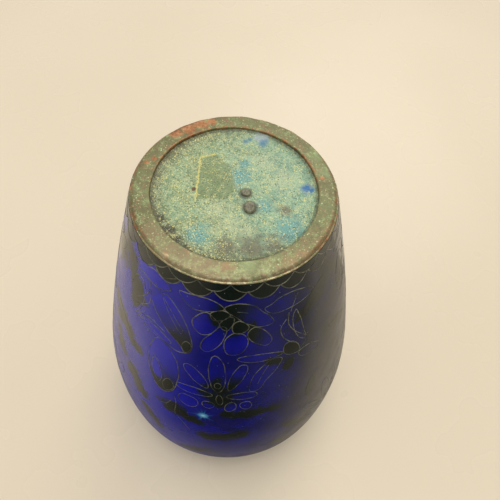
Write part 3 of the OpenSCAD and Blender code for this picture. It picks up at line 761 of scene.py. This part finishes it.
# Black streaks fired into the glass: half width, then a line of points.
STREAKS = [
    (1.9, (66, 6), (59, 10), (53, 14), (50, 18)), (2.1, (68, 33.5), (60, 33.5), (54, 36), (48, 40)),
    (2.3, (49, 56), (45, 60), (42, 63.5)), (1.9, (39.5, 73), (35.5, 77), (31, 82)),
    (2.9, (24.5, 58.6), (22, 59.4)), (2.0, (22, 60), (16.5, 61.3), (12.5, 62.8)),
    (2.2, (-1, 55), (-10, 54.5), (-19, 55)), (2.6, (8, 73), (.5, 72.5), (-6, 69.5)),
    (2.7, (-50.5, 9.5), (-47.5, 13.5), (-41, 15.5), (-36, 17)), (1.5, (-19.5, 29.5), (-25, 31), (-29, 32)),
    (1.8, (-41, 51), (-39, 60)), (1.6, (-62, 36), (-56.5, 39)), (2.1, (-38.5, 82.5), (-29, 74)),
    (3.1, (3.4, 42.5), (2.6, 47)), (2.4, (4.5, 37.6), (3.5, 41)), (2.0, (4, 11), (-1, 12.4), (-7, 13.8)),
    (2.2, (62, 46), (58, 52)), (3.0, (64, 88), (60, 95), (52, 99)), (2.6, (10, 92), (18, 97)),
    (2.6, (-30, 95), (-22, 90))]
STRAY_MM = 3.2          # size of the unevenness in their edges
UP_A, UP_H = 64, 37     # the upper fan flower's place, from the lower one


def moved(rows):
    return [(c[0] + UP_A, c[1] + UP_H, c[2] + UP_A, c[3] + UP_H, *c[4:]) for c in rows]


UP_FAN = moved(FAN[:4])
UP_TOP, UP_EYE, UP_HEART = moved([FAN_TOP, FAN_EYE, FAN_HEART[0]])
TURNS = (0, 120, 240)


# How black a cell's glass is: s is the share of the way from its root, t runs from -1 to 1 across it.
def ink_all(s, t): return np.full(len(t), 0.9)
def ink_none(s, t): return np.full(len(t), 0.0)
def ink_root(reach): return lambda s, t: np.full(len(t), max(0.0, 1.15 - s / reach))
def ink_core(s, t): return np.clip(1.35 - 1.15 * (abs(2 * s - 1) ** 2.5 + np.abs(t) ** 2.5), 0, 1.2)


def streaks_and_painted_shade(points):
    """How black the glass is at each point: painted shade darkens one side of the front, and there are the
    black streaks.
    """
    p = np.asarray(points)
    a = np.degrees(np.arctan2(-p[:, 0], -p[:, 1]))
    h = np.clip(TOTAL - p[:, 2] / MM, 0, BELLY_H)
    # painted shade: the front is darkened towards its +x side
    out = 0.32 * np.clip((-a - 1) / 11, 0, 1) + 0.38 * np.clip((-a - 14) / 26, 0, 1)
    out = out * np.clip((a + 105) / 25, 0, 1)
    for half, *rows in STREAKS:
        for turn in TURNS:
            q = np.stack([np.radians((a - turn - rows[0][0] + 180) % 360 - 180) * wall(h)[0], h], -1)
            line = np.array([flat(x - rows[0][0], y) for x, y in rows])
            far = np.full(len(q), 99.0)
            for p0, p1 in zip(line[:-1], line[1:]):
                d = p1 - p0
                k = np.clip(((q - p0) @ d) / (d @ d), 0, 1)
                far = np.minimum(far, np.linalg.norm(q - p0 - k[:, None] * d, axis=1))
            near = np.flatnonzero(far < 3 * half)
            at = [Vector((q[i][0] / STRAY_MM, q[i][1] / STRAY_MM, rows[0][0] + turn)) for i in near]
            stray = 0.6 * np.array([noise.fractal(v, 0.6, 2.0, 3) for v in at])
            out[near] = np.maximum(out[near], np.clip(1.25 - far[near] / half * 0.62 + stray, 0, 1))
    return out


def cells_piece(name, node, mat, rows):
    """A piece of enamel cells, three times round; rows: cell, ink, lift."""
    b = Build()
    for turn in TURNS:
        for c, ink, lift in rows:
            patch(b, c, lift, ink, turn)
    return mesh_piece(name, b.v, b.f, mat, node, ink=np.maximum(b.ink, streaks_and_painted_shade(b.v)))


def wires_piece(name, node, cells, open_lines=(), mat=M_WIRE, w=WIRE_W, rise=0.05):
    """Wires round those cells, and along open lines inside them, three times round."""
    b = Build()
    for turn in TURNS:
        for c in cells:
            o = cell_outline(c)
            u, v = wander(o[:, 0], o[:, 1], turn)
            ribbon(b, np.stack([u, np.clip(v, *DRAWN_H)], -1), turn, w=w, rise=rise)
        for rows in open_lines:
            ribbon(b, smooth_path(rows), turn, closed=False, w=WIRE_W * 0.85)
    return mesh_piece(name, b.v, b.f, mat, node, sharp=75)


# -------- the body
def ground():
    outer, inner = (outline_rh(lift, EDGE_H + 0.02)[0] for lift in (0.0, -ENAMEL_T))
    v, f = revolve(np.concatenate([outer, inner[::-6]]), 360)
    mesh_piece("ground_glass", v, f, M_GROUND, "ground_enamel", ink=streaks_and_painted_shade(v))


ground()
PETAL_LIFT, HEART_LIFT = 0.02, 0.03


def petals(cells, inks): return [(c, ink, PETAL_LIFT) for c, ink in zip(cells, inks)]
def hearts(*cells): return [(c, ink_all, HEART_LIFT) for c in cells]


cells_piece("blossom_petals", "blossom_petal_enamel", M_PETAL,
            petals(BLOSSOM, map(ink_root, (.3, .2, .22, .3, .95, .75))))
cells_piece("blossom_hearts", "blossom_centre_enamel", M_PETAL, hearts(*BLOSSOM_HEART))
wires_piece("blossom_wire", "blossom_wires", BLOSSOM + BLOSSOM_HEART, [[(-3, 9), (-5.5, 9.2), (-8.2, 9.5)]])
cells_piece("buds", "bud_enamel", M_PETAL,
            petals((BUD_LOW, BUD_HIGH), map(ink_root, (.8, .7)))
            + [(BUD_HIGH_IN, ink_root(.35), HEART_LIFT)])
cells_piece("bud_tips", "bud_tip_enamel", M_PETAL, hearts(BUD_LOW_TIP, BUD_HIGH_TIP))
wires_piece("bud_wire", "bud_wires", [BUD_LOW_TIP, BUD_HIGH, BUD_HIGH_TIP, BUD_HIGH_IN], [
    [(40, 14.5), (37.5, 16.8), (33.5, 19.2), (29, 21.6), (24.6, 23.4), (22, 25.2), (20.5, 27)],
    [(34, 10), (31.6, 9.6), (27.5, 11), (22.5, 14), (19, 18), (17.2, 21.6), (16.9, 24), (18, 26),
     (20.5, 27), (25, 27.5), (31, 26), (37, 25), (44, 23.5)],
    [(34, 10), (33, 12), (29, 15.5), (25, 18.6), (22.6, 20), (22, 18.5), (25.5, 16), (29, 13.5),
     (33.4, 11), (38.8, 8.6)],
    [(36, 35), (33, 36.5), (31, 38.5), (29, 39)]])
# how far black reaches from each petal's root: the lower flower's eight and top, then the upper one's five
REACH = (.3, .85, .45, .35, 0, .3, .3, 0, .42) + (.4,) * 5
cells_piece("fan_petals", "fan_petal_enamel", M_PETAL,
            petals(FAN + [FAN_TOP] + UP_FAN + [UP_TOP], [ink_root(r) if r else ink_none for r in REACH]))
cells_piece("fan_hearts", "fan_centre_enamel", M_PETAL,
            hearts(FAN_HEART[0], FAN_EYE, UP_HEART, UP_EYE))
wires_piece("fan_wire", "fan_wires",
            [FAN_TOP, FAN_EYE, UP_TOP, UP_EYE, UP_HEART] + FAN + FAN_HEART + UP_FAN)
cells_piece("side_flower", "side_flower_enamel", M_PETAL,
            petals(SIDE_FLOWER, [ink_root(.3)] * 3) + hearts(SIDE_HEART))
wires_piece("side_flower_wire", "side_flower_wires", SIDE_FLOWER + [SIDE_HEART],
            [[(-38.5, 26), (-36, 28.4), (-33.4, 30)], [(-18, 30.6), (-15, 34.4), (-13, 38.4)]])
cells_piece("leaves", "leaf_enamel", M_PETAL,
            petals(LEAVES, [ink_none] * 3 + [ink_core, ink_none]))
wires_piece("leaf_wire", "leaf_wires", LEAVES, [
    [(49.5, 25.5), (45, 24.4), (42.5, 26.4), (40, 27)], [(45, 24), (43.5, 22.5), (39, 21.2), (31, 22.5)],
    [(52, 9), (46, 8.8), (42.5, 10), (41, 12.5), (41, 15), (42, 17), (47, 19.6), (52, 22)],
    [(55.5, 21.5), (49, 18), (44, 14.5), (42, 12)], [(43, 2.6), (41, 4), (37, 5.4), (33, 4.8), (26, 3)],
    [(-28.5, 13), (-28, 16.5), (-30, 19.5), (-33.5, 22.5), (-38.5, 26)],
    [(-27, 15), (-24, 17.5), (-25, 21), (-28.5, 24), (-31, 25.5)], [(-34, 8), (-31.5, 10.5), (-29.5, 13)],
    [(23.6, 51), (22.8, 55.4), (23.1, 61.5), (20.2, 65.2), (16, 70.5)],
    [(31, 59.5), (27.5, 58.2), (25.2, 54.5)]])
cells_piece("dark_leaves", "dark_leaf_enamel", M_GROUND,
            petals(DARK_LEAVES, [ink_all] * len(DARK_LEAVES)))
wires_piece("dark_leaf_wire", "dark_leaf_wires", DARK_LEAVES, mat=M_WIRE_DARK, w=0.14, rise=0.012)


# -------- scale border at the foot
def scale_rows():
    step = 360.0 / SCALES
    # name, heights of a scale's sides and top, shift round in steps, lift
    rows = (("scale_row_lower", 1.25, 3.35, 0.5, 0.05), ("scale_row_upper", 3.2, 5.7, 0.0, 0.03))
    for name, hi, ho, half, lift in rows:
        b, wires = Build(), Build()
        x = np.linspace(-1, 1, 17)
        arc = ho - (ho - hi) * np.abs(x) ** 2.2
        base = EDGE_H + 0.03
        for i in range(SCALES):
            a0 = 0.4 + step * (half + i)
            verts, faces, k, n = [], [], len(x), 5
            for depth in (lift, lift - 0.35):
                for j in range(n + 1):
                    h = base + (np.maximum(arc, base + 0.05) - base) * j / n
                    verts.extend(on_wall(a0 + x * step / 2, h, depth))
            m = k * (n + 1)
            for j in range(n):
                for q in range(k - 1):
                    a = j * k + q
                    faces.append((a, a + k, a + k + 1, a + 1))
                    faces.append((m + a, m + a + 1, m + a + k + 1, m + a + k))
            rim = [*range(k), *[j * k + k - 1 for j in range(1, n + 1)],
                   *[n * k + q for q in range(k - 2, -1, -1)], *[j * k for j in range(n - 1, 0, -1)]]
            for q in range(len(rim)):
                a, c = rim[q], rim[(q + 1) % len(rim)]
                faces.append((a, c, m + c, m + a))
            b.take(verts, faces, [0.92] * len(verts))
            r = wall(arc)[0]
            line = np.stack([np.radians(x * step / 2) * r, arc], -1)
            ribbon(wires, line, a0, lift=lift, closed=False)
        mesh_piece(name, b.v, b.f, M_DARK, name + "_enamel", ink=b.ink)
        mesh_piece(name + "_wire", wires.v, wires.f, M_WIRE, name + "_wires", sharp=75)


scale_rows()


# -------- lappets on the shoulder
def lappet_pieces():
    def at(q, lift):
        rho = np.hypot(q[:, 0], q[:, 1])
        ang = np.degrees(np.arctan2(q[:, 0], q[:, 1]))
        w = BELLY_R - SHOULDER_IN
        deg = np.degrees(np.arccos(np.clip((rho - SHOULDER_IN) / w, -1, 1)))
        rh = shoulder(deg, lift)
        return place(ang + at.turn, rh[:, 0], rh[:, 1])
    b, wires = Build(), Build()
    n, k = 24, 10
    s = (1 - np.cos(np.pi * np.arange(n + 1) / n)) / 2
    w = LAPPET_W * bulge(s, LAPPET_ROOT, LAPPET_TIP)
    y = LAPPET_IN + (LAPPET_OUT - LAPPET_IN) * s
    for i in range(LAPPETS):
        at.turn = 360.0 / LAPPETS * i
        verts, sides = [], []
        for depth in (0.03, -0.3):
            side = []
            for j in range(n + 1):
                t = np.linspace(-1, 1, k + 1) if 0 < j < n else np.array([0.0])
                side.append(list(range(len(verts), len(verts) + len(t))))
                verts.extend(at(np.stack([t * w[j], np.full(len(t), y[j])], -1), depth))
            sides.append(side)
        b.take(verts, plate_faces(*sides, flip=False), [0.85] * len(verts))
        line = np.concatenate([np.stack([w, y], -1), np.stack([-w, y], -1)[-2:0:-1]])
        ribbon(wires, line, 0, lift=0.02, at=at)
    mesh_piece("lappets", b.v, b.f, M_DARK, "lappet_enamel", ink=b.ink)
    mesh_piece("lappet_wire", wires.v, wires.f, M_WIRE, "lappet_wires", sharp=75)


lappet_pieces()


# -------- foot, recess and mouth rim
def arc_points(cx, ch, r, a0, a1, n):
    t = np.radians(np.linspace(a0, a1, n))
    return np.stack([cx + r * np.cos(t), ch + r * np.sin(t)], -1)


def foot_ring():
    # the outer edge is worn rounder than the CAD's, which is rounded 0.5 mm
    outer_round, inner_round, seat = 0.9, 0.3, FOOT_R - 0.55
    level = np.stack([np.linspace(FOOT_IN + inner_round, FOOT_R - 1.1, 12), np.zeros(12)], -1)
    edge = arc_points(FOOT_R - outer_round, outer_round, outer_round, -90, 0, 14)
    side_h = np.linspace(0.95, EDGE_H, 3)
    side = np.stack([wall(side_h)[0], side_h], -1)
    inner = arc_points(FOOT_IN + inner_round, inner_round, inner_round, 180, 270, 5)
    sec = np.concatenate([inner, level, edge, side,
                          [[seat, EDGE_H], [seat, RING_H], [FOOT_IN, RING_H]]])
    v, f = revolve(sec, 400)
    # the shown part is worn uneven
    out = v[:, :2] / np.hypot(v[:, 0], v[:, 1])[:, None]
    shown = np.clip((v[:, 2] / MM - (TOTAL - EDGE_H)) / 0.7, 0, 1)
    n1, n2, n3 = roughen(v, 3.5, 0.10), roughen(v, 0.9, 0.045, 9.0), roughen(v, 9.0, 0.12, 4.0)
    v[:, 2] += shown * (n1 + n2 - 0.05 * MM)
    v[:, :2] += out * (shown * (n1 * 0.8 + n3))[:, None]
    mesh_piece("foot_ring_copper", v, f, M_FOOT, "foot_ring", sharp=60)


def recess():
    curl, rise = 2.6, 0.55              # the glass climbs the wall that far out and that high
    edge, under = FOOT_IN - 0.02, RECESS + 0.63
    r = np.concatenate([np.linspace(0, FOOT_IN - curl, 44), np.linspace(FOOT_IN - 2.3, edge, 12)])
    k = np.clip((r - (FOOT_IN - curl)) / curl, 0, 1)
    h = RECESS - rise * k ** 2.4
    sec = np.concatenate([np.stack([r, h], -1), [[edge, under], [0.0, under]]])
    v, f = revolve(sec, 320)
    top = v[:, 2] > (TOTAL - RECESS - 0.3) * MM
    n = roughen(v, 6.0, 0.16) + roughen(v, 1.6, 0.05, 5.0) + roughen(v, 0.6, 0.022, 7.0)
    v[:, 2] += np.where(top, n, 0)
    mesh_piece("recess_glass", v, f, M_RECESS, "base_enamel", sharp=60)


def blisters():
    b = Build()
    n, k = 48, 14
    # place, the two radii, height
    for x, y, rx, ry, up in ((3.3, -4.4, 1.35, 1.75, 0.7), (2.4, -0.5, 1.15, 1.05, 0.5)):
        verts, faces = [], []
        for depth in range(2):
            verts.append(Vector((x, y, TOTAL - RECESS + (up * 0.55 if depth == 0 else -0.3))))
            for i in range(1, k + 1):
                q = i / k
                dome = up * (0.55 + 1.3 * q ** 2 - 1.85 * q ** 4.5) if depth == 0 else -0.3
                for j in range(n):
                    a = 2 * math.pi * j / n
                    wob = 1 + 0.13 * noise.noise(Vector((x + math.cos(a), y + math.sin(a), 3.0)))
                    p = Vector((x + rx * q * wob * math.cos(a), y + ry * q * wob * math.sin(a), 0))
                    ripple = 0.16 * noise.noise(p * 1.4) * (1 - q ** 3) if depth == 0 else 0
                    p.z = TOTAL - RECESS + dome + ripple
                    verts.append(p)
        m = 1 + n * k
        for o in (0, m):
            for j in range(n):
                j2 = (j + 1) % n
                faces.append((o, o + 1 + j, o + 1 + j2))
                for i in range(k - 1):
                    s = o + 1 + i * n
                    faces.append((s + j, s + n + j, s + n + j2, s + j2))
        s = 1 + (k - 1) * n
        for j in range(n):
            j2 = (j + 1) % n
            faces.append((s + j, m + s + j, m + s + j2, s + j2))
        b.take([v * MM for v in verts], faces, [0.0] * len(verts))
    mesh_piece("recess_blisters", b.v, b.f, M_BLISTER, "base_blisters", sharp=70)


def mouth_rim():
    rim_in = NECK_R - ENAMEL_T - COPPER_T - LINING_T - 0.3
    out, k, base = NECK_R + 1.4, RIM_H / 2, TOTAL - RIM_H
    sec = np.concatenate([arc_points(rim_in + 0.25, base + 0.25, 0.25, 180, 270, 5),
                          arc_points(out - k, base + k, k, -90, 90, 17),
                          arc_points(rim_in + 0.25, TOTAL - 0.25, 0.25, 90, 180, 5)])
    v, f = revolve(sec, 240)
    mesh_piece("mouth_rim_copper", v, f, M_RIM, "mouth_rim", sharp=60)


foot_ring()
recess()
blisters()
mouth_rim()
for node, mat in (("base_disc", M_COPPER), ("body_shell", M_COPPER), ("lining_enamel", M_LINING)):
    for kept_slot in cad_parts[node].material_slots:
        kept_slot.material = mat


# -------- camera
LENS = 30.24
CAMERA_AT = (0.0, -58.06, 198.85)       # mm
CAMERA_LOOK, CAMERA_UP = (0.0407, 0.5076, -0.8606), (-0.0359, 0.8615, 0.5065)


def camera():
    data = bpy.data.cameras.new("camera")
    data.sensor_width, data.lens = 36.0, LENS
    ob = linked("camera", data)
    back = -Vector(CAMERA_LOOK).normalized()
    up = Vector(CAMERA_UP)
    right = up.cross(back).normalized()
    up = back.cross(right)
    m = Matrix((right, up, back)).transposed().to_4x4()
    m.translation = Vector(CAMERA_AT) * MM
    ob.matrix_world = m
    data.clip_start, data.clip_end = 0.01, 50
    bpy.context.scene.camera = ob


camera()


# -------- floor and lights
def stage():
    m, t, wire = material("floor_pale", IOR=1.45)
    c = blend(t, span(t, noise_of(t, 240, 2, 0.5), 0.35, 0.65), FLOOR_LOW, FLOOR_HIGH)
    wire(Base_Color=c, Roughness=span(t, noise_of(t, 60, 3), 0.3, 0.7, 0.24, 0.32))
    bpy.ops.mesh.primitive_circle_add(vertices=96, radius=FLOOR_R, fill_type="NGON", location=(0, 0, 0))
    floor = bpy.context.object
    floor.name = "floor"
    floor.data.materials.append(m)


def card():
    """A soft-edged dark card just over the floor: painted shade standing for the darker floor in front that
    the glass reflects. It isn't part of the vase; only reflections show it.
    """
    m, t, out = blank("card_dark")
    mix = t.nodes.new("ShaderNodeMixShader")
    dark, clear = t.nodes.new("ShaderNodeBsdfDiffuse"), t.nodes.new("ShaderNodeBsdfTransparent")
    dark.inputs[0].default_value = (0.0, 0.0, 0.0, 1)
    under = t.nodes.new("ShaderNodeNewGeometry").outputs["Backfacing"]
    at = add(t, "ShaderNodeSeparateXYZ", None, i0=coord(t))
    x, y = at.outputs[0], at.outputs[1]
    left = plus(t, span(t, x, -0.040, -0.105, 0.0, CARD_LEFT), span(t, x, -0.13, -0.24, 0.0, 0.5))
    right = plus(t, span(t, x, 0.010, 0.075, 0.0, CARD_RIGHT), span(t, x, 0.11, 0.22, 0.0, 0.5))
    near = span(t, y, -0.085, -0.030, 0.0, 0.40)
    seen = calc(t, "ADD", plus(t, left, right), plus(t, near, CARD_FRONT), clamp=True)
    t.links.new(most(t, seen, under), mix.inputs[0])
    t.links.new(dark.outputs[0], mix.inputs[1])
    t.links.new(clear.outputs[0], mix.inputs[2])
    t.links.new(mix.outputs[0], out.inputs[0])
    me = bpy.data.meshes.new("card")
    w, back, front, z = 0.5, 0.05, -0.7, 0.0006
    me.from_pydata([(-w, front, z), (w, front, z), (w, back, z), (-w, back, z)], [], [(0, 1, 2, 3)])
    me.materials.append(m)
    ob = linked("card", me)
    ob.visible_camera = ob.visible_diffuse = ob.visible_shadow = ob.visible_transmission = False


def lamp(name, at, aim, size, power, colour):
    d = bpy.data.lights.new(name, "AREA")
    d.shape, d.size, d.energy, d.color = "DISK", size, power, colour
    ob = linked(name, d)
    ob.location = at
    ob.rotation_mode = "QUATERNION"
    ob.rotation_quaternion = (Vector(aim) - Vector(at)).to_track_quat("-Z", "Y")


def lights():
    """A room that is brighter above and behind, two large soft lamps, and a small lamp in front."""
    world = bpy.data.worlds.new("world")
    bpy.context.scene.world = world
    world.use_nodes = True
    t = world.node_tree
    bg = t.nodes["Background"]
    way = add(t, "ShaderNodeTexCoord").outputs["Generated"]
    d = vec(t, "DOT_PRODUCT", way, tuple(Vector(BRIGHT_SIDE).normalized()), "Value")
    bg.inputs[0].default_value = (1.0, 0.96, 0.90, 1)
    t.links.new(span(t, d, -0.2, 1.0, WORLD_LOW, WORLD_HIGH), bg.inputs[1])
    lamp("key", (0.28, 0.78, 0.90), (0, 0, 0.05), 0.8, KEY, (1.0, 0.95, 0.86))
    lamp("overhead", (0.02, 0.12, 1.05), (0, 0, 0.0), 0.7, OVERHEAD, (1.0, 0.91, 0.76))
    lamp("front", (-0.075, -0.235, 0.415), (0, -0.02, 0.127), 0.02, FRONT, (1.0, 0.96, 0.90))


FLOOR_R = 6.0                                       # metres
FLOOR_LOW, FLOOR_HIGH = (0.76, 0.68, 0.54), (0.79, 0.71, 0.57)
CARD_LEFT, CARD_RIGHT, CARD_FRONT = 0.42, 0.17, 0.05
WORLD_LOW, WORLD_HIGH, KEY, OVERHEAD, FRONT = 0.27, 0.80, 3.3, 2.9, 0.09
BRIGHT_SIDE = (-0.15, 0.30, 0.94)
card()
stage()
lights()
bpy.context.scene.view_settings.view_transform = "Standard"
